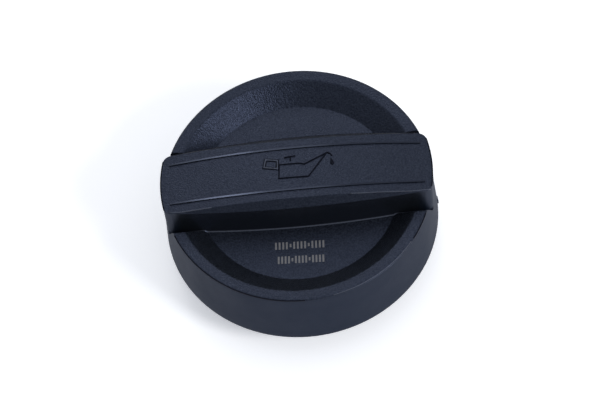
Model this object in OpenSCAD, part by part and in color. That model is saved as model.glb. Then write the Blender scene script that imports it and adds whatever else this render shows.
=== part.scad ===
// Bayonet oil filler cap with a bar grip.
//
// The cap stands upright on the end of its stem, so z = 0 is that end and +Z
// points out of the engine. The bar grip runs along X. The origin lies on the
// cap's axis. All sizes are in millimetres.

/* [Cover] */
// Outer diameter at the skirt's lower edge
skirt_d = 70; // [60:0.5:90]
// Outer diameter at the rim, at the top of the skirt
rim_d = 67; // [58:0.5:88]
// Height of the skirt, from its lower edge to the rim
skirt_h = 16.7; // [14:0.1:26]
// Width of the flat rim, from its outer edge to the bowl
rim_w = 3; // [2:0.1:6]
// Diameter of the bowl's flat floor
floor_d = 50.2; // [44:0.2:72]
// Depth of the bowl's floor below the rim
bowl_depth = 4.7; // [3:0.1:8]
// How far the rim falls from its outer to its inner edge
rim_fall = 0.35; // [0:0.05:1]
// Round on the rim's outer edge
rim_outer_r = 0.5; // [0.2:0.1:1]
// Round between the rim and the bowl
rim_inner_r = 1.2; // [0.4:0.1:2]
// Wall of the cover
cover_wall = 2.2; // [1.6:0.1:3]
// Radial ribs between the skirt and the clip collar
rib_count = 8; // [4:2:12]
// Thickness of each rib
rib_t = 1.4; // [1:0.1:2.5]

/* [Grip] */
// Height of the grip's crown above the rim
grip_rise = 6; // [3:0.1:10]
// How far the arched top falls from its crown to its ends
grip_arch = 2.8; // [1:0.1:4]
// Width of the grip at its middle, at rim level
grip_mid_w = 20.7; // [17:0.1:26]
// Width of the grip at its ends, at rim level
grip_end_w = 16.3; // [12:0.1:22]
// Diameter of the circle that the grip's two ends lie on, at rim level
grip_d = 67.7; // [60:0.1:90]
// Width of the grip's arched top, between its two long chamfers
grip_top_w = 16.7; // [12:0.1:20]
// Slope of the two chamfers, in degrees from the top
grip_chamfer = 45; // [25:1:60]
// Round on the grip's upright corners
grip_corner_r = 2.3; // [1:0.1:4]
// Draft of the grip's walls, in degrees
grip_draft = 2.2; // [0.5:0.1:4]
// Width across the two relief grooves beside the grip, at rim level
relief_w = 23.4; // [21:0.1:32]
// Depth of the relief grooves where they meet the grip's ends
relief_depth = 6.2; // [3:0.1:8]
// Wall of the hollow grip
grip_wall = 2.4; // [1.6:0.1:3.5]

/* [Plug] */
// Diameter of the plug's flange
flange_d = 51.6; // [46:0.2:60]
// Thickness of the flange
flange_t = 2.4; // [1.8:0.1:4]
// Outer diameter of the tubular stem
stem_d = 37; // [28:0.5:42]
// Wall of the stem
stem_wall = 2.4; // [1.6:0.1:4]
// How far the stem stands below the skirt
stem_drop = 9; // [7:0.5:16]
// Diameter over the bayonet lugs
lug_d = 43.6; // [34:0.2:46]
// Number of bayonet lugs
lug_count = 2; // [2:1:4]
// Angle that each lug spans
lug_angle = 54; // [30:1:60]
// Thickness of a lug at its thick end
lug_t = 3; // [2:0.1:4]
// Rise of each lug's ramp
lug_ramp = 1.2; // [0.4:0.1:1.6]
// Diameter of the plain pilot below the lugs
pilot_d = 36.4; // [26:0.2:42]
// Length of the pilot
pilot_h = 3.6; // [2:0.1:5]

/* [Sealing ring] */
// Outer diameter of the sealing ring
seal_d = 48.4; // [44:0.2:56]
// Thickness of the ring's flat body
seal_t = 3; // [2:0.1:4]
// Radius of the lip under the ring
lip_r = 0.8; // [0.4:0.1:1.2]

/* [Clip and fits] */
// Radial clearance between the flange and the collar that holds it
clip_gap = 0.15; // [0.05:0.05:0.4]
// How far the collar's clip bead stands in under the flange
clip_bead = 0.5; // [0.3:0.05:0.8]
// Wall of the clip collar
collar_wall = 1.7; // [1.2:0.1:2.5]
// Number of slots that let the collar spring
collar_slots = 6; // [4:1:8]
// Width of each slot
slot_w = 1.2; // [0.8:0.1:2]
// Number of keys that turn the plug with the cover
key_count = 3; // [2:1:4]
// Width of each key
key_w = 4; // [2:0.1:8]
// Clearance round the keys and inside the sealing ring
slide_gap = 0.1; // [0.05:0.05:0.4]

/* [Hidden] */

$fn = 180;
arch_fn = 720;
over = 1;
plastic = [0.13, 0.14, 0.18];
plastic_inner = [0.16, 0.17, 0.20];
rubber = [0.07, 0.07, 0.08];

// Levels, from the stem's end upwards
skirt_z = stem_drop;
rim_z = skirt_z + skirt_h;
floor_z = rim_z - bowl_depth;
crown_z = rim_z + grip_rise;
flange_top_z = floor_z - cover_wall;
flange_z = flange_top_z - flange_t;
collar_z = flange_z - clip_gap - 2 * clip_bead;
seal_z = flange_z - seal_t;
lug_z = pilot_h;

// Slopes and radii that several shapes share
skirt_slope = (skirt_d - rim_d) / 2 / skirt_h;
draft_slope = tan(grip_draft);
collar_in_r = flange_d / 2 + clip_gap;
skirt_in_r = skirt_d / 2 - cover_wall;
bowl_r = rim_d / 2 - rim_w;
key_in_r = seal_d / 2 + clip_gap + slide_gap;

// The keys stand clear of the grip's hollow ends, where the collar is cut away
key_start = 90 / key_count;

// The barrel-shaped sides and the arched top of the grip are arcs of large circles
function arc_radius(half_chord, sag) = (half_chord * half_chord + sag * sag) / (2 * sag);
side_r = arc_radius(grip_d / 2, (grip_mid_w - grip_end_w) / 2);
side_y = side_r - grip_mid_w / 2;
arch_r = arc_radius(grip_d / 2, grip_arch);

// Centre of the grip's upright corner round, which touches its side and its end
corner_y = (pow(side_r - grip_corner_r, 2) - pow(grip_d / 2 - grip_corner_r, 2) - side_y * side_y)
    / (2 * side_y);
corner_x = sqrt(pow(grip_d / 2 - grip_corner_r, 2) - corner_y * corner_y);

// The relief groove's sloping face ends on the grip's wall at this half width
relief_foot_y = grip_end_w / 2 + relief_depth * draft_slope;
relief_foot_z = rim_z - relief_depth;
relief_lean = (relief_w / 2 - relief_foot_y) / relief_depth;

// Half width across the relief grooves at a level
function relief_y(z) = relief_foot_y + (z - relief_foot_z) * relief_lean;

function unit(v) = v / norm(v);

// Points along an arc of radius r that rounds corner p between points a and b
function corner_arc(a, p, b, r, steps = 8) =
    let (
        half = acos(unit(a - p) * unit(b - p)) / 2,
        centre = p + unit(unit(a - p) + unit(b - p)) * r / sin(half),
        from = p + unit(a - p) * r / tan(half) - centre,
        to = p + unit(b - p) * r / tan(half) - centre,
        start = atan2(from[1], from[0]),
        turn = (atan2(to[1], to[0]) - start + 540) % 360 - 180
    )
    [for (i = [0 : steps]) centre + r * [cos(start + turn * i / steps), sin(start + turn * i / steps)]];

// Copies of the children at equal steps round the axis
module around(count, start = 0) {
    for (i = [0 : count - 1]) rotate([0, 0, start + i * 360 / count]) children();
}

// The outer form of the cover as a solid of revolution: flared skirt, rim and bowl
module cover_outside() {
    skirt_foot = [skirt_d / 2, skirt_z];
    rim_edge = [rim_d / 2, rim_z];
    bowl_edge = [bowl_r, rim_z - rim_fall];
    floor_edge = [floor_d / 2, floor_z];
    rotate_extrude() polygon(concat(
        [[0, skirt_z], skirt_foot],
        corner_arc(skirt_foot, rim_edge, bowl_edge, rim_outer_r),
        corner_arc(rim_edge, bowl_edge, floor_edge, rim_inner_r),
        [floor_edge, [0, floor_z]]
    ));
}

// The space under the cover: inside the skirt, below the floor and up behind the bowl's wall
module cover_inside() {
    roof_r = rim_d / 2 - cover_wall - skirt_slope * cover_wall;
    bowl_slope = (bowl_r - floor_d / 2) / (bowl_depth - rim_fall);
    back_r = floor_d / 2 + cover_wall;
    roof_z = min(rim_z - cover_wall - rim_fall, flange_top_z + (roof_r - back_r) / bowl_slope);
    rotate_extrude() polygon([
        [0, skirt_z - over],
        [skirt_in_r + skirt_slope * over, skirt_z - over],
        [roof_r, roof_z],
        [back_r, flange_top_z],
        [0, flange_top_z]
    ]);
}

// A bar along X with the given section, as long as the cap is wide
module bar_section(points) {
    rotate([90, 0, 90]) linear_extrude(skirt_d + 2 * over, center = true) polygon(points);
}

// The V-shaped grooves cut beside the grip, and the bar of wall that backs them
module relief_grooves() {
    bar_section([
        [-relief_foot_y, relief_foot_z],
        [relief_foot_y, relief_foot_z],
        [relief_y(rim_z + over), rim_z + over],
        [-relief_y(rim_z + over), rim_z + over]
    ]);
}

module relief_backing() {
    back_z = relief_foot_z - cover_wall;
    back_w = cover_wall * norm([1, relief_lean]);
    difference() {
        intersection() {
            cover_outside();
            bar_section([
                [-relief_y(back_z) - back_w, back_z],
                [relief_y(back_z) + back_w, back_z],
                [relief_y(rim_z + over) + back_w, rim_z + over],
                [-relief_y(rim_z + over) - back_w, rim_z + over]
            ]);
        }
        translate([0, 0, skirt_z]) cylinder(h = flange_top_z - skirt_z, r = collar_in_r + collar_wall / 2);
    }
}

// The arched top with its two long chamfers, revolved about the arch's centre
module grip_arch_solid(inset = 0) {
    half_w = grip_mid_w / 2 + over;
    crease_y = grip_top_w / 2 - inset * tan(grip_chamfer / 2);
    top_r = arch_r - inset;
    chamfer_r = top_r - (half_w - crease_y) * tan(grip_chamfer);
    sweep = 2 * asin((skirt_d / 2 + over) / arch_r);
    depth = grip_rise + skirt_h;
    translate([0, 0, crown_z - arch_r])
        rotate([90, 0, 0])
            rotate([0, 0, 90 - sweep / 2])
                rotate_extrude(angle = sweep, $fn = arch_fn) polygon([
                    [arch_r - depth, -half_w],
                    [chamfer_r, -half_w],
                    [top_r, -crease_y],
                    [top_r, crease_y],
                    [chamfer_r, half_w],
                    [arch_r - depth, half_w]
                ]);
}

// A tall drafted column of radius r at rim level, centred on (x, y)
module drafted_column(x, y, r, bottom_z) {
    height = crown_z + over - bottom_z;
    translate([x, y, bottom_z])
        cylinder(
            h = height,
            r1 = r + draft_slope * (rim_z - bottom_z),
            r2 = r - draft_slope * (crown_z + over - rim_z)
        );
}

// The waste outside the round of one upright corner of the grip
module corner_waste(inset, bottom_z) {
    side_dir = unit([corner_x, corner_y + side_y]);
    end_dir = unit([corner_x, corner_y]);
    reach = 3 * grip_corner_r;
    centre = [corner_x, corner_y];
    difference() {
        translate([0, 0, bottom_z - over]) linear_extrude(crown_z - bottom_z + 3 * over) polygon([
            centre,
            centre + side_dir * reach,
            centre + (side_dir + end_dir) * reach,
            centre + end_dir * reach
        ]);
        drafted_column(corner_x, corner_y, grip_corner_r - inset, bottom_z - 2 * over);
    }
}

// The children in all four quarters
module four_ways() {
    children();
    mirror([1, 0, 0]) children();
    mirror([0, 1, 0]) children();
    rotate([0, 0, 180]) children();
}

// The grip's body above a level, drawn in all round by an inset
module grip_body(inset, bottom_z) {
    intersection() {
        grip_arch_solid(inset);
        difference() {
            intersection() {
                drafted_column(0, side_y, side_r - inset, bottom_z, $fn = arch_fn);
                drafted_column(0, -side_y, side_r - inset, bottom_z, $fn = arch_fn);
                drafted_column(0, 0, grip_d / 2 - inset, bottom_z);
            }
            if (inset < grip_corner_r) four_ways() corner_waste(inset, bottom_z);
        }
    }
}

// The collar that the plug's flange clips into, with its bead, slots and keys
module clip_collar() {
    difference() {
        rotate_extrude() {
            translate([collar_in_r, collar_z]) square([collar_wall, flange_top_z - collar_z + over / 2]);
            translate([collar_in_r, collar_z + clip_bead]) circle(clip_bead, $fn = 48);
        }
        around(collar_slots)
            translate([collar_in_r - over, -slot_w / 2, collar_z - over])
                cube([collar_wall + 2 * over, slot_w, flange_top_z - collar_z]);
    }
    around(key_count, key_start) translate([key_in_r, -key_w / 2, flange_z + slide_gap])
        cube([collar_in_r + collar_wall / 2 - key_in_r, key_w, flange_t - slide_gap + over / 2]);
}

// Radial ribs that tie the collar to the skirt
module skirt_ribs() {
    rib_z = flange_z;
    intersection() {
        around(rib_count, 180 / rib_count)
            translate([collar_in_r + collar_wall / 2, -rib_t / 2, rib_z])
                cube([skirt_d / 2 - collar_in_r - collar_wall / 2 - cover_wall / 2, rib_t, rim_z - rib_z]);
        cover_outside();
    }
}

// Outer moulding: skirt, rim, bowl, relief grooves and hollow bar grip in one piece
module grip_cover() {
    color(plastic) difference() {
        union() {
            difference() {
                union() {
                    difference() {
                        cover_outside();
                        cover_inside();
                    }
                    relief_backing();
                    skirt_ribs();
                    clip_collar();
                }
                relief_grooves();
            }
            grip_body(0, flange_top_z);
        }
        grip_body(grip_wall, collar_z - over);
    }
}

// One bayonet lug with its ramp on top, a lead-in below and a stop at its thick end
module lug() {
    ramp_angle = atan(lug_ramp / (lug_d / 2 * lug_angle * PI / 180));
    root_r = stem_d / 2 - stem_wall / 2;
    lead_in = lug_t / 4;
    stop_angle = 5;
    stop_inset = 1.5;
    difference() {
        rotate([0, 0, -lug_angle / 2]) rotate_extrude(angle = lug_angle) polygon([
            [root_r, lug_z],
            [lug_d / 2 - lead_in, lug_z],
            [lug_d / 2, lug_z + lead_in],
            [lug_d / 2, lug_z + lug_t],
            [root_r, lug_z + lug_t]
        ]);
        translate([0, 0, lug_z + lug_t - lug_ramp / 2])
            rotate([ramp_angle, 0, 0])
                translate([0, -lug_d / 2, 0]) cube([lug_d, lug_d, lug_t]);
    }
    rotate([0, 0, lug_angle / 2 - stop_angle - stop_inset]) rotate_extrude(angle = stop_angle)
        translate([root_r, lug_z + lug_t / 2])
            square([lug_d / 2 - root_r - lead_in / 2, lug_t]);
}

// Inner moulding: clip-in flange, tubular stem, bayonet lugs and plain pilot
module bayonet_plug() {
    pilot_chamfer = 0.8;
    bead_r = 0.5;
    bead_z = seal_z - slide_gap - bead_r;
    stem_in_r = stem_d / 2 - stem_wall;
    bead = [for (i = [0 : 8]) [stem_d / 2 + bead_r * sin(22.5 * i), bead_z - bead_r * cos(22.5 * i)]];
    color(plastic_inner) union() {
        difference() {
            rotate_extrude() polygon(concat(
                [
                    [stem_in_r, 0],
                    [pilot_d / 2 - pilot_chamfer, 0],
                    [pilot_d / 2, pilot_chamfer],
                    [pilot_d / 2, pilot_h],
                    [stem_d / 2, pilot_h]
                ],
                bead,
                [
                    [stem_d / 2, flange_z],
                    [flange_d / 2, flange_z],
                    [flange_d / 2, flange_top_z],
                    [0, flange_top_z],
                    [0, flange_z],
                    [stem_in_r, flange_z]
                ]
            ));
            around(key_count, key_start)
                translate([key_in_r - slide_gap, -key_w / 2 - slide_gap, flange_z - over])
                    cube([flange_d, key_w + 2 * slide_gap, flange_t + 2 * over]);
        }
        around(lug_count, 90) lug();
    }
}

// Moulded rubber ring with a rounded lip that seals on the filler neck
module sealing_ring() {
    seal_in_r = stem_d / 2 + slide_gap;
    lip_centre_r = (seal_in_r + seal_d / 2) / 2;
    edge_r = seal_t / 6;
    top_in = [seal_in_r, flange_z];
    top_out = [seal_d / 2, flange_z];
    low_out = [seal_d / 2, seal_z];
    low_in = [seal_in_r, seal_z];
    lip = [for (i = [0 : 12]) [lip_centre_r + lip_r * cos(15 * i), seal_z - lip_r * sin(15 * i)]];
    color(rubber) rotate_extrude() polygon(concat(
        [top_in],
        corner_arc(top_in, top_out, low_out, edge_r),
        corner_arc(top_out, low_out, low_in, edge_r),
        lip,
        [low_in]
    ));
}

grip_cover();
bayonet_plug();
sealing_ring();
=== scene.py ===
"""Looks of the bayonet oil filler cap: moulded plastics, raised markings, floor, light and camera."""
import math

import bpy
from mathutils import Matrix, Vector


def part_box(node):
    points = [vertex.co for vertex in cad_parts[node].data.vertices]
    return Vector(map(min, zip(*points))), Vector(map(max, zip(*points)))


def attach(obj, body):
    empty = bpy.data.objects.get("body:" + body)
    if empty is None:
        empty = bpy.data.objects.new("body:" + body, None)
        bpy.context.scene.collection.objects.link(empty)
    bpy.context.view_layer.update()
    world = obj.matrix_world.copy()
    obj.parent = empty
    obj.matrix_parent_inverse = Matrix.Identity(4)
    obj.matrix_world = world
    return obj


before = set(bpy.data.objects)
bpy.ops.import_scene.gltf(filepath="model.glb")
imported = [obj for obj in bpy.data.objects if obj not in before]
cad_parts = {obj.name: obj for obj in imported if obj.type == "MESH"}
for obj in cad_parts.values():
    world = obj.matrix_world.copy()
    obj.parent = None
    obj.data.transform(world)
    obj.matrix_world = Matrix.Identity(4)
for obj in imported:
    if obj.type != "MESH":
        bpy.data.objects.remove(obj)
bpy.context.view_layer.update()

MM = 0.001
# Height of the finest lines and marks
FINE_HEIGHT = 0.03 * MM

# Sizes of the cover, as the construction has them: R is a radius, and HALF is half a width
CROWN_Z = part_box("grip_cover")[1].z
SKIRT_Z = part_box("grip_cover")[0].z
SKIRT_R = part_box("grip_cover")[1].x
GRIP_HEIGHT = 6 * MM
BOWL_DEPTH = 4.7 * MM
RIM_Z = CROWN_Z - GRIP_HEIGHT
FLOOR_Z = RIM_Z - BOWL_DEPTH
RIM_R = 33.5 * MM
BOWL_R = 30.5 * MM
BOWL_FLOOR_R = 25.1 * MM
RIM_FALL = 0.35 * MM
GRIP_END_R = 33.85 * MM
GRIP_MID_HALF = 10.35 * MM
GRIP_TOP_HALF = 8.35 * MM
GRIP_END_HALF = 8.15 * MM
GRIP_ARCH = 2.8 * MM
GRIP_DRAFT = math.tan(math.radians(2.2))
RELIEF_HALF = 11.7 * MM
RELIEF_DEPTH = 6.2 * MM


def arc_radius(half_chord, sag):
    """Radius of the arc with this half chord and height."""
    return (half_chord ** 2 + sag ** 2) / (2 * sag)


ARCH_R = arc_radius(GRIP_END_R, GRIP_ARCH)
SIDE_R = arc_radius(GRIP_END_R, GRIP_MID_HALF - GRIP_END_HALF)


def grip_top(x, y=0):
    """Height of the grip's arched top, the same all across its width."""
    return CROWN_Z - ARCH_R + math.sqrt(ARCH_R ** 2 - x ** 2)


def grip_shoulder(x, y):
    """Height of the grip's upper side: its arched top, and the chamfer along each long edge."""
    return grip_top(x) - max(0, abs(y) - GRIP_TOP_HALF)


def grip_side(x, z):
    """Half width of the grip at x, at height z."""
    return math.sqrt(SIDE_R ** 2 - x ** 2) - SIDE_R + GRIP_MID_HALF + (RIM_Z - z) * GRIP_DRAFT


def upper_face(x, y):
    """Height of the cover's upper face beside the grip: floor, bowl, rim or relief groove."""
    r = math.hypot(x, y)
    foot_y = GRIP_END_HALF + RELIEF_DEPTH * GRIP_DRAFT
    groove = RIM_Z - RELIEF_DEPTH * (RELIEF_HALF - abs(y)) / (RELIEF_HALF - foot_y)
    if r <= BOWL_FLOOR_R:
        return min(FLOOR_Z, groove)
    if r <= BOWL_R:
        up = (r - BOWL_FLOOR_R) / (BOWL_R - BOWL_FLOOR_R)
        return min(FLOOR_Z + up * (RIM_Z - RIM_FALL - FLOOR_Z), groove)
    return min(RIM_Z - RIM_FALL * (RIM_R - r) / (RIM_R - BOWL_R), groove)


def skirt_radius(z):
    """Radius of the skirt's outer face at height z."""
    return SKIRT_R - (z - SKIRT_Z) * (SKIRT_R - RIM_R) / (RIM_Z - SKIRT_Z)


# Mesh helpers

def add_mesh(name, points, faces, material, smooth=True):
    """A mesh piece on the cap, with its material and material slot."""
    mesh = bpy.data.meshes.new(name)
    mesh.from_pydata([tuple(p) for p in points], [], faces)
    mesh.validate()
    mesh.update()
    piece = bpy.data.objects.new(name, mesh)
    bpy.context.scene.collection.objects.link(piece)
    mesh.materials.append(material)
    for face in mesh.polygons:
        face.use_smooth = smooth
    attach(piece, "root")
    return piece


def tube_faces(ring, count, closed=False):
    """Faces of a tube made of count rings, with a cap at each end unless it is closed."""
    faces = []
    for i in range(count if closed else count - 1):
        a = i * ring
        b = (i + 1) % count * ring
        faces += [(a + k, a + (k + 1) % ring, b + (k + 1) % ring, b + k) for k in range(ring)]
    if not closed:
        faces.append(tuple(range(ring - 1, -1, -1)))
        faces.append(tuple((count - 1) * ring + k for k in range(ring)))
    return faces


def spread(start, end, steps):
    """Evenly spaced values from start to end."""
    return [start + (end - start) * i / steps for i in range(steps + 1)]


def densify(path, step):
    """The path with extra points, so that no stretch is longer than step."""
    out = [path[0]]
    for a, b in zip(path, path[1:]):
        count = max(1, math.ceil(math.dist(a, b) / step))
        out += [(a[0] + (b[0] - a[0]) * i / count, a[1] + (b[1] - a[1]) * i / count)
                for i in range(1, count + 1)]
    return out


def mitres(path, closed):
    """The sideways direction at each point of a path, lengthened at its corners."""
    count = len(path)
    out = []
    for i, here in enumerate(path):
        before = path[i - 1] if closed or i > 0 else None
        after = path[(i + 1) % count] if closed or i < count - 1 else None
        sides = []
        for a, b in ((before, here), (here, after)):
            if a is not None and b is not None:
                run = Vector((b[0] - a[0], b[1] - a[1])).normalized()
                sides.append(Vector((-run.y, run.x)))
        side = sum(sides, Vector((0, 0))).normalized()
        out.append(side / max(0.5, side.dot(sides[0])))
    return out


# Across a raised line: sideways and upwards, as shares of its width and height
ROUND_SECTION = [(-0.5 * math.cos(math.radians(20 * i)), math.sin(math.radians(20 * i))) for i in range(10)]
# A steep side on the right of the path, a slope that falls to its left, and a lower steep side there
SLOPED_SECTION = [(-0.5, 0), (-0.42, 1), (0.42, 0.58), (0.5, 0)]


def raised_line(name, path, width, height, material, section=ROUND_SECTION, closed=False, surface=grip_top,
                root=0.15 * MM):
    """A moulded line with the given section that stands out of a surface along a path in plan."""
    step = 1 * MM
    section = [(section[0][0], -root / height), *section, (section[-1][0], -root / height)]
    if closed:
        path = densify(path + path[:1], step)[:-1]
    else:
        path = densify(path, step)
    points = []
    for (x, y), side in zip(path, mitres(path, closed)):
        for across, up in section:
            px = x + side.x * across * width
            py = y + side.y * across * width
            points.append((px, py, surface(px, py) + up * height))
    faces = tube_faces(len(section), len(path), closed)
    rounded = section[1:-1] == ROUND_SECTION
    return add_mesh(name, points, faces, material, smooth=rounded)


# Nodes

def feed(node, inputs):
    """Links sockets to a node's inputs, and sets its other inputs to plain values."""
    for key, value in inputs.items():
        if isinstance(value, bpy.types.NodeSocket):
            node.id_data.links.new(value, node.inputs[key])
        else:
            node.inputs[key].default_value = value


def add_node(tree, kind, inputs, **settings):
    """A new node in a tree, with its settings and inputs."""
    node = tree.nodes.new(kind)
    for key, value in settings.items():
        setattr(node, key, value)
    feed(node, inputs)
    return node


def ramp(tree, value, low, high, start=0.0, stop=1.0):
    """A value that goes from start to stop while another goes from low to high."""
    node = add_node(tree, "ShaderNodeMapRange", {
        "Value": value, "From Min": low, "From Max": high, "To Min": start, "To Max": stop,
    })
    return node.outputs["Result"]


def reckon(tree, operation, *terms):
    """The result of one operation on sockets and numbers."""
    return add_node(tree, "ShaderNodeMath", dict(enumerate(terms)), operation=operation).outputs["Value"]


def blend(tree, kind, factor, first, second):
    """A mix of two values or colours."""
    mix = add_node(tree, "ShaderNodeMix", {"Factor": factor, "A": first, "B": second}, data_type=kind)
    return mix.outputs["Result"]


# Materials

def new_material(name):
    """A new material, its tree and its shader."""
    material = bpy.data.materials.new(name)
    material.use_nodes = True
    tree = material.node_tree
    return material, tree, tree.nodes["Principled BSDF"]


def dulled_walls(tree, place, upward, shade, gloss, bevel, inner, outer, rougher, wall_colour):
    """Colour, roughness and edge radius of a plastic whose walls turn duller between two radii.

    The rim's own edge is rounder there, and keeps its gloss.
    """
    flat = add_node(tree, "ShaderNodeVectorMath", {0: place, 1: (1, 1, 0)}, operation="MULTIPLY")
    reach = add_node(tree, "ShaderNodeVectorMath", {0: flat.outputs["Vector"]}, operation="LENGTH")
    spot = add_node(tree, "ShaderNodeSeparateXYZ", {"Vector": place})
    beyond = ramp(tree, reach.outputs["Value"], inner, outer)
    wall = ramp(tree, upward, 0.15, 0.4, 1.0, 0.0)
    off_axis = reckon(tree, "ABSOLUTE", spot.outputs["Y"])
    off_grip = reckon(tree, "GREATER_THAN", off_axis, RELIEF_HALF)
    on_rim = reckon(tree, "MULTIPLY", beyond, off_grip)
    rise = reckon(tree, "SUBTRACT", spot.outputs["Z"], RIM_Z)
    off_edge = reckon(tree, "ABSOLUTE", rise)
    near_edge = ramp(tree, off_edge, 0.2 * MM, 0.6 * MM, 1.0, 0.0)
    glossy = reckon(tree, "MULTIPLY", on_rim, near_edge)
    matt = reckon(tree, "SUBTRACT", 1.0, glossy)
    matt_wall = reckon(tree, "MULTIPLY", wall, matt)
    dull = reckon(tree, "MULTIPLY", beyond, matt_wall)
    return (
        blend(tree, "RGBA", dull, shade, (*wall_colour, 1)),
        reckon(tree, "MULTIPLY_ADD", dull, rougher, gloss),
        ramp(tree, on_rim, 0.0, 1.0, bevel, 4 * bevel),
    )


def moulded_plastic(name, dark, light, roughness, grain_size, grain_depth, tint, ior=1.5, bevel=0.25 * MM,
                    dull_walls=None):
    """Moulded plastic: spark grain on its upward faces, even walls, and slightly rounded edges.

    dull_walls is the two radii between which the walls turn duller, the added roughness, and their colour.
    """
    material, tree, shader = new_material(name)
    where = add_node(tree, "ShaderNodeTexCoord", {})
    place = where.outputs["Object"]
    # 1 on a level face, and 0 on an upright wall
    upward = add_node(tree, "ShaderNodeSeparateXYZ", {"Vector": where.outputs["Normal"]}).outputs["Z"]
    mottle = add_node(tree, "ShaderNodeTexNoise", {
        "Vector": place, "Scale": 90.0, "Detail": 4.0, "Roughness": 0.6,
    })
    grain = add_node(tree, "ShaderNodeTexNoise", {
        "Vector": place, "Scale": 1 / grain_size, "Detail": 2.0, "Roughness": 0.55,
    })
    speckle = ramp(tree, grain.outputs["Fac"], 0.34, 0.66)
    speckle_share = ramp(tree, upward, 0.3, 0.8, 0.25, 1.0)
    lightness = blend(tree, "FLOAT", speckle_share, 0.5, speckle)
    shade = blend(tree, "RGBA", lightness, (*dark, 1), (*light, 1))
    uneven = ramp(tree, mottle.outputs["Fac"], 0.3, 0.7, -0.04, 0.04)
    gloss = reckon(tree, "ADD", uneven, roughness)
    edge_radius = bevel
    if dull_walls:
        shade, gloss, edge_radius = dulled_walls(tree, place, upward, shade, gloss, bevel, *dull_walls)
    edge = add_node(tree, "ShaderNodeBevel", {"Radius": edge_radius}, samples=4)
    # The grain is weaker on upright walls and on the grip's chamfers than on level faces and in the bowl
    strength = ramp(tree, upward, 0.71, 0.77, 0.15, 1.0)
    bump = add_node(tree, "ShaderNodeBump", {
        "Height": grain.outputs["Fac"], "Normal": edge.outputs["Normal"], "Distance": grain_depth,
        "Strength": strength,
    })
    feed(shader, {
        "Base Color": shade, "Roughness": gloss, "Normal": bump.outputs["Normal"], "IOR": ior,
        "Specular Tint": (*tint, 1),
    })
    return material


def plain_surface(name, dark, light, roughness, scale, glow=(0, 0, 0)):
    """A matt surface with a soft mottle, and a glow where one is given."""
    material, tree, shader = new_material(name)
    place = add_node(tree, "ShaderNodeTexCoord", {}).outputs["Object"]
    mottle = add_node(tree, "ShaderNodeTexNoise", {"Vector": place, "Scale": scale, "Detail": 3.0})
    feed(shader, {
        "Base Color": blend(tree, "RGBA", mottle.outputs["Fac"], (*dark, 1), (*light, 1)),
        "Roughness": roughness, "Emission Color": (*glow, 1), "Emission Strength": 1.0,
    })
    return material


COVER_TINT = (0.5, 0.61, 1.0)
cover_plastic = moulded_plastic(
    "cover_plastic", (0.0, 0.0, 0.0), (0.015, 0.018, 0.024), roughness=0.34, grain_size=0.38 * MM,
    grain_depth=0.16 * MM, tint=COVER_TINT, dull_walls=(30.4 * MM, 33.4 * MM, 0.38, (0.0, 0.003, 0.009)),
)
smooth_plastic = moulded_plastic(
    "smooth_plastic", (0.003, 0.004, 0.007), (0.006, 0.008, 0.012), roughness=0.14, grain_size=0.3 * MM,
    grain_depth=0.002 * MM, tint=COVER_TINT, bevel=0.03 * MM,
)
# A lighter copy of the cover plastic: painted highlight, used on the symbol's handle, the rim's front edge,
# the chamfer's creases and the wall fillets
painted_highlight_plastic = moulded_plastic(
    "painted_highlight_plastic", (0.038, 0.042, 0.054), (0.056, 0.062, 0.076), roughness=0.3, grain_size=0.3 * MM,
    grain_depth=0.002 * MM, tint=COVER_TINT, bevel=0.03 * MM,
)
# A near-black copy of the cover plastic that reflects little: painted shade, used on the symbol's lines, the
# dark edges of the rim and grip, and the back notches
painted_shade_plastic = moulded_plastic(
    "painted_shade_plastic", (0.001, 0.001, 0.002), (0.003, 0.003, 0.005), roughness=0.7, grain_size=0.3 * MM,
    grain_depth=0.002 * MM, tint=COVER_TINT, ior=1.3, bevel=0.03 * MM,
)
plug_plastic = moulded_plastic(
    "plug_plastic", (0.008, 0.008, 0.009), (0.012, 0.012, 0.014), roughness=0.36, grain_size=0.4 * MM,
    grain_depth=0.006 * MM, tint=(0.95, 0.97, 1.0),
)
seal_rubber = moulded_plastic(
    "seal_rubber", (0.006, 0.006, 0.006), (0.011, 0.011, 0.011), roughness=0.62, grain_size=0.3 * MM,
    grain_depth=0.01 * MM, tint=(1.0, 1.0, 1.0),
)
laser_mark = plain_surface("laser_mark", (0.09, 0.09, 0.10), (0.18, 0.18, 0.19), roughness=0.7, scale=2500.0)

NODE_MATERIALS = {"grip_cover": cover_plastic, "bayonet_plug": plug_plastic, "sealing_ring": seal_rubber}
for node, material in NODE_MATERIALS.items():
    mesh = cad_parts[node].data
    mesh.materials.clear()
    mesh.materials.append(material)


# Raised lines on the grip's top: one along each long edge, and the oil can symbol

def frame_line(name, side):
    """One of the two long lines, slightly bowed like the grip's wall."""
    half_length = 31.4 * MM
    middle_y = 5.95 * MM
    end_y = 5.6 * MM
    path = []
    for x in spread(-half_length, half_length, 40):
        bow = 1 - (x / half_length) ** 2
        path.append((x, side * (end_y + (middle_y - end_y) * bow)))
    return raised_line(name, path, 0.6 * MM, 0.27 * MM, smooth_plastic, SLOPED_SECTION)


def symbol_line(name, points, width=0.32 * MM, height=0.28 * MM, material=painted_shade_plastic, closed=False):
    """One line of the symbol, through points in millimetres; the raised line is real, and its dark default
    plastic is painted shade.
    """
    path = [(x * MM, y * MM) for x, y in points]
    return raised_line(name, path, width, height, material, closed=closed)


CAN_HANDLE = [(-7.1, 3.2), (-4.2, 2.6), (-4.3, 0.3), (-7.6, 1.0)]
CAN_BODY = [(-3.8, 1.4), (-4.1, -2.5), (3.2, -2.6), (8.1, 3.8), (7.2, 3.3), (2.4, 1.0), (1.0, 1.35)]
CAN_DROP = [(9.05, 1.7), (9.05, 0.7), (9.25, 0.5), (9.4, 0.7)]

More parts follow.
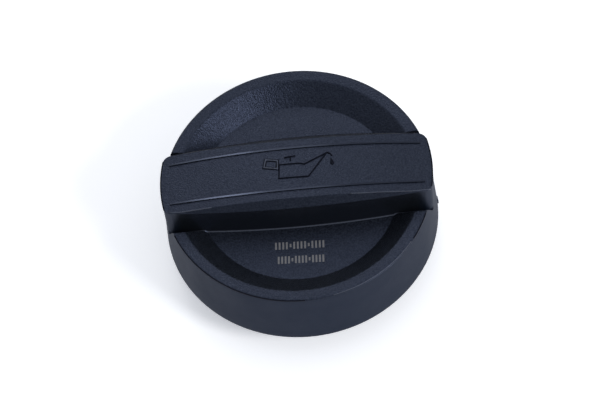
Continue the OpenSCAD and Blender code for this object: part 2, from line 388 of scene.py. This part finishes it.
frame_line("frame_line_back", 1)
frame_line("frame_line_front", -1)
# The handle's wide dark band is painted shade, and the light line along its middle is a painted highlight
symbol_line("can_handle", CAN_HANDLE, 0.85 * MM, 0.16 * MM, closed=True)
symbol_line("can_handle_highlight", CAN_HANDLE, 0.4 * MM, material=painted_highlight_plastic, closed=True)
symbol_line("can_body", CAN_BODY, closed=True)
symbol_line("can_knob_stem", [(-1.0, 3.3), (-1.0, 2.3)])
symbol_line("can_knob_bar", [(-2.5, 3.3), (0.3, 3.6)])
symbol_line("can_drip", [(8.1, 3.8), (8.9, 3.5), (9.3, 2.8)])
symbol_line("can_drop", CAN_DROP, 0.65 * MM, closed=True)


# Painted highlights and painted shade: fine light lines where an edge shines, and dark lines where an edge
# lies in shade, on the rim and the grip

def rim_line(name, start, end, width, inset, material):
    """A fine line on the rim's outer edge, between two angles in degrees from +X: a painted highlight in the
    light plastic, painted shade in the dark one.
    """
    radius = RIM_R - inset
    angles = spread(math.radians(start), math.radians(end), 72)
    path = [(radius * math.cos(angle), radius * math.sin(angle)) for angle in angles]
    return raised_line(name, path, width, FINE_HEIGHT, material, surface=upper_face, root=0.45 * MM)


def crease_highlight_line(name, start, end):
    """A painted highlight: a light line on the upper edge of the grip's front chamfer, from one x to
    another.
    """
    corner_inset = 0.3 * MM
    path = []
    for x in spread(start, end, 12):
        path.append((x, -min(GRIP_TOP_HALF, grip_side(x, grip_top(x)) - corner_inset)))
    return raised_line(name, path, 0.25 * MM, 0.06 * MM, painted_highlight_plastic)


def end_line(name, side):
    """A dark line of painted shade along one end of the grip's top."""
    radius = GRIP_END_R - 0.2 * MM
    half_angle = math.radians(12)
    path = []
    for angle in spread(-half_angle, half_angle, 12):
        path.append((side * radius * math.cos(angle), side * radius * math.sin(angle)))
    return raised_line(name, path, 0.35 * MM, FINE_HEIGHT, painted_shade_plastic)


def back_shade_line():
    """A dark line of painted shade on the lower edge of the grip's back chamfer."""
    half_length = 30 * MM
    chamfer = GRIP_MID_HALF - GRIP_TOP_HALF
    inset = 0.16 * MM
    path = []
    for x in spread(-half_length, half_length, 40):
        path.append((x, grip_side(x, grip_top(x) - chamfer) - inset))
    return raised_line("back_shade_line", path, 0.3 * MM, 0.05 * MM, painted_shade_plastic, surface=grip_shoulder)


# Painted highlight on the rim's front edge, and painted shade on its edge at the left and the right
rim_line("rim_highlight_front", 282, 323, 0.15 * MM, 0.25 * MM, painted_highlight_plastic)
rim_line("rim_shade_left", 202, 270, 0.3 * MM, 0.18 * MM, painted_shade_plastic)
rim_line("rim_shade_right", 325, 338, 0.3 * MM, 0.18 * MM, painted_shade_plastic)
# Painted highlights on the chamfer's upper edge near both ends of the grip
crease_highlight_line("crease_highlight_left", -31.5 * MM, -21 * MM)
crease_highlight_line("crease_highlight_right", 13 * MM, 32.6 * MM)
# Painted shade along the grip's ends and along the foot of its back chamfer
end_line("end_shade_right", 1)
end_line("end_shade_left", -1)
back_shade_line()


# Concave fillet where the grip's walls meet the floor, the bowl and the rim

def base_fillet(name, side):
    """A small fillet along the foot of one of the grip's long walls: a real fillet, in the lighter plastic
    as a painted highlight along it.
    """
    leg = 0.35 * MM
    half_length = 30 * MM
    section = [(-0.2, -0.2), (-0.2, 1), (0.12, 0.4), (0.4, 0.12), (1, -0.2)]
    points = []
    stations = spread(-half_length, half_length, 96)
    for x in stations:
        wall = grip_side(x, upper_face(x, grip_side(x, FLOOR_Z)))
        for out, up in section:
            z = upper_face(x, wall + max(out, 0) * leg) + up * leg
            points.append((x, side * (wall + out * leg), z))
    faces = [face[::side] for face in tube_faces(len(section), len(stations))]
    return add_mesh(name, points, faces, painted_highlight_plastic)


base_fillet("wall_fillet_back", 1)
base_fillet("wall_fillet_front", -1)


# Painted shade: dark sheets in the two back notches, where the relief groove opens through the skirt

def shade_sheet(name, rows, turn):
    """A thin sheet of painted shade from rows of pairs, an outer and an inner point. turn is -1 for a
    mirrored sheet.
    """
    wide = len(rows[0])
    high = len(rows)
    under = wide * high
    points = [outer for row in rows for outer, _ in row] + [inner for row in rows for _, inner in row]
    faces = []
    for i in range(high - 1):
        for j in range(wide - 1):
            a = i * wide + j
            face = (a, a + 1, a + wide + 1, a + wide)
            faces += [face, tuple(under + k for k in reversed(face))]
    border = list(range(wide))
    border += [i * wide + wide - 1 for i in range(1, high)]
    border += [(high - 1) * wide + j for j in range(wide - 2, -1, -1)]
    border += [i * wide for i in range(high - 2, 0, -1)]
    for a, b in zip(border, border[1:] + border[:1]):
        faces.append((a, under + a, under + b, b))
    faces = [face[::turn] for face in faces]
    return add_mesh(name, points, faces, painted_shade_plastic, smooth=False)


def groove_shade(name, end):
    """Painted shade in the back groove: a dark sheet from the rim's inner edge to its mouth."""
    root = 0.3 * MM
    start_r = BOWL_R - 0.4 * MM
    mouth_inset = 0.12 * MM
    rows = []
    for y in spread(8.5 * MM, 11.6 * MM, 8):
        start = math.sqrt(start_r ** 2 - y ** 2)
        mouth = math.sqrt(skirt_radius(upper_face(RIM_R, y)) ** 2 - y ** 2) - mouth_inset
        row = []
        for x in spread(start, mouth, 6):
            z = upper_face(x, y)
            row.append(((end * x, y, z + FINE_HEIGHT), (end * x, y, z - root)))
        rows.append(row)
    return shade_sheet(name, rows, end)


groove_shade("groove_shade_right", 1)
groove_shade("groove_shade_left", -1)


# Small wedge on the skirt

def skirt_nub():
    """The small wedge at the foot of the skirt, on the right."""
    half_root = 0.7 * MM
    half_face = 0.42 * MM
    inside = 0.4 * MM
    low = SKIRT_Z + 0.02 * MM
    high = SKIRT_Z + 2.8 * MM
    points = []
    for z, proud in ((low, 0.28 * MM), (high - 0.7 * MM, 0.24 * MM), (high, -0.05 * MM)):
        root_x = skirt_radius(z) - inside
        face_x = skirt_radius(z) + proud
        points += [(root_x, -half_root, z), (face_x, -half_face, z)]
        points += [(face_x, half_face, z), (root_x, half_root, z)]
    return add_mesh("skirt_nub", points, tube_faces(4, 3), cover_plastic, smooth=False)


skirt_nub()


# Two rows of plain laser ticks on the bowl's floor

def tick_row(name, left, right):
    """A row of upright ticks between two points in plan, in millimetres. Every fifth one is short."""
    ticks = 14
    half_width = 0.225 * MM
    half_height = 1.0 * MM
    short = 0.45
    box_faces = [(3, 2, 1, 0), (4, 5, 6, 7), (0, 1, 5, 4), (1, 2, 6, 5), (2, 3, 7, 6), (3, 0, 4, 7)]
    start = Vector(left) * MM
    run = Vector(right) * MM - start
    along = run.normalized()
    up = Vector((-along.y, along.x))
    points = []
    faces = []
    for i in range(ticks):
        centre = start + run * (i + 0.5) / ticks
        reach = half_height * (short if i % 5 == 4 else 1)
        base = len(points)
        for z in (FLOOR_Z - FINE_HEIGHT, FLOOR_Z + FINE_HEIGHT):
            for a, b in ((-1, -1), (1, -1), (1, 1), (-1, 1)):
                spot = centre + along * a * half_width + up * b * reach
                points.append((spot.x, spot.y, z))
        faces += [tuple(base + k for k in face) for face in box_faces]
    return add_mesh(name, points, faces, laser_mark, smooth=False)


tick_row("mark_row_back", (-6.9, -15.4), (5.7, -15.9))
tick_row("mark_row_front", (-6.4, -19.4), (5.4, -19.9))


# Floor, light and camera

def towards(azimuth, elevation):
    """The direction at two angles in degrees; azimuth 0 is the front, and 90 is the right."""
    a = math.radians(azimuth)
    e = math.radians(elevation)
    return Vector((math.sin(a) * math.cos(e), -math.cos(a) * math.cos(e), math.sin(e)))


def floor():
    """A wide white floor under the cap, with a slight glow that softens the cap's shadow."""
    half = 3.0
    corners = [(-half, -half, 0), (half, -half, 0), (half, half, 0), (-half, half, 0)]
    mesh = bpy.data.meshes.new("floor")
    mesh.from_pydata(corners, [], [(0, 1, 2, 3)])
    plane = bpy.data.objects.new("floor", mesh)
    bpy.context.scene.collection.objects.link(plane)
    mesh.materials.append(plain_surface(
        "floor_white", (0.96, 0.96, 0.96), (0.98, 0.98, 0.98), roughness=0.9, scale=2.0,
        glow=(0.35, 0.36, 0.39),
    ))


def softbox(name, azimuth, elevation, distance, width, height, power):
    """An area lamp that faces the cap."""
    lamp = bpy.data.lights.new(name, "AREA")
    lamp.shape = "RECTANGLE"
    lamp.size = width
    lamp.size_y = height
    lamp.energy = power
    thing = bpy.data.objects.new(name, lamp)
    bpy.context.scene.collection.objects.link(thing)
    direction = towards(azimuth, elevation)
    thing.location = Vector((0, 0, RIM_Z)) + distance * direction
    thing.rotation_euler = (-direction).to_track_quat("-Z", "Y").to_euler()


def daylight():
    """A pale world, darker towards the front and the horizon."""
    world = bpy.data.worlds.new("studio")
    world.use_nodes = True
    tree = world.node_tree
    where = add_node(tree, "ShaderNodeTexCoord", {})
    way = add_node(tree, "ShaderNodeSeparateXYZ", {"Vector": where.outputs["Generated"]})
    from_front = ramp(tree, way.outputs["Y"], -0.9, 0.3, 0.45, 0.7)
    from_horizon = ramp(tree, way.outputs["Z"], 0.15, 0.45, 0.08, 1.0)
    strength = reckon(tree, "MULTIPLY", from_front, from_horizon)
    feed(tree.nodes["Background"], {"Color": (0.93, 0.96, 1.0, 1), "Strength": strength})
    bpy.context.scene.world = world


def camera():
    """The photograph's view: its angle, roll, distance and framing."""
    azimuth = 4.1
    elevation = 59.34
    roll = math.radians(-8.75)
    distance = 0.4
    focal_px = 1608.3
    picture_w = 600
    sensor = 36.0
    right_of_axis = 0.79 * MM
    below_axis = 4.77 * MM
    back = towards(azimuth, elevation)
    level = towards(azimuth + 90, 0)
    upright = back.cross(level)
    right = level * math.cos(roll) + upright * math.sin(roll)
    up = upright * math.cos(roll) - level * math.sin(roll)
    lens = bpy.data.cameras.new("camera")
    lens.sensor_width = sensor
    lens.lens = focal_px * sensor / picture_w
    thing = bpy.data.objects.new("camera", lens)
    bpy.context.scene.collection.objects.link(thing)
    turn = thing.matrix_world.to_3x3()
    turn.col[0] = right
    turn.col[1] = up
    turn.col[2] = back
    thing.matrix_world = turn.to_4x4()
    thing.location = Vector((0, 0, RIM_Z)) + back * distance + right * right_of_axis - up * below_axis
    bpy.context.scene.camera = thing


floor()
daylight()
softbox("lamp_back", azimuth=190, elevation=54, distance=1.0, width=0.42, height=1.1, power=1.4)
softbox("lamp_back_left", azimuth=195, elevation=35, distance=1.0, width=0.14, height=0.14, power=0.35)
softbox("lamp_front_right", azimuth=54, elevation=37, distance=0.8, width=0.2, height=0.2, power=2.9)
camera()
bpy.context.scene.view_settings.view_transform = "Standard"
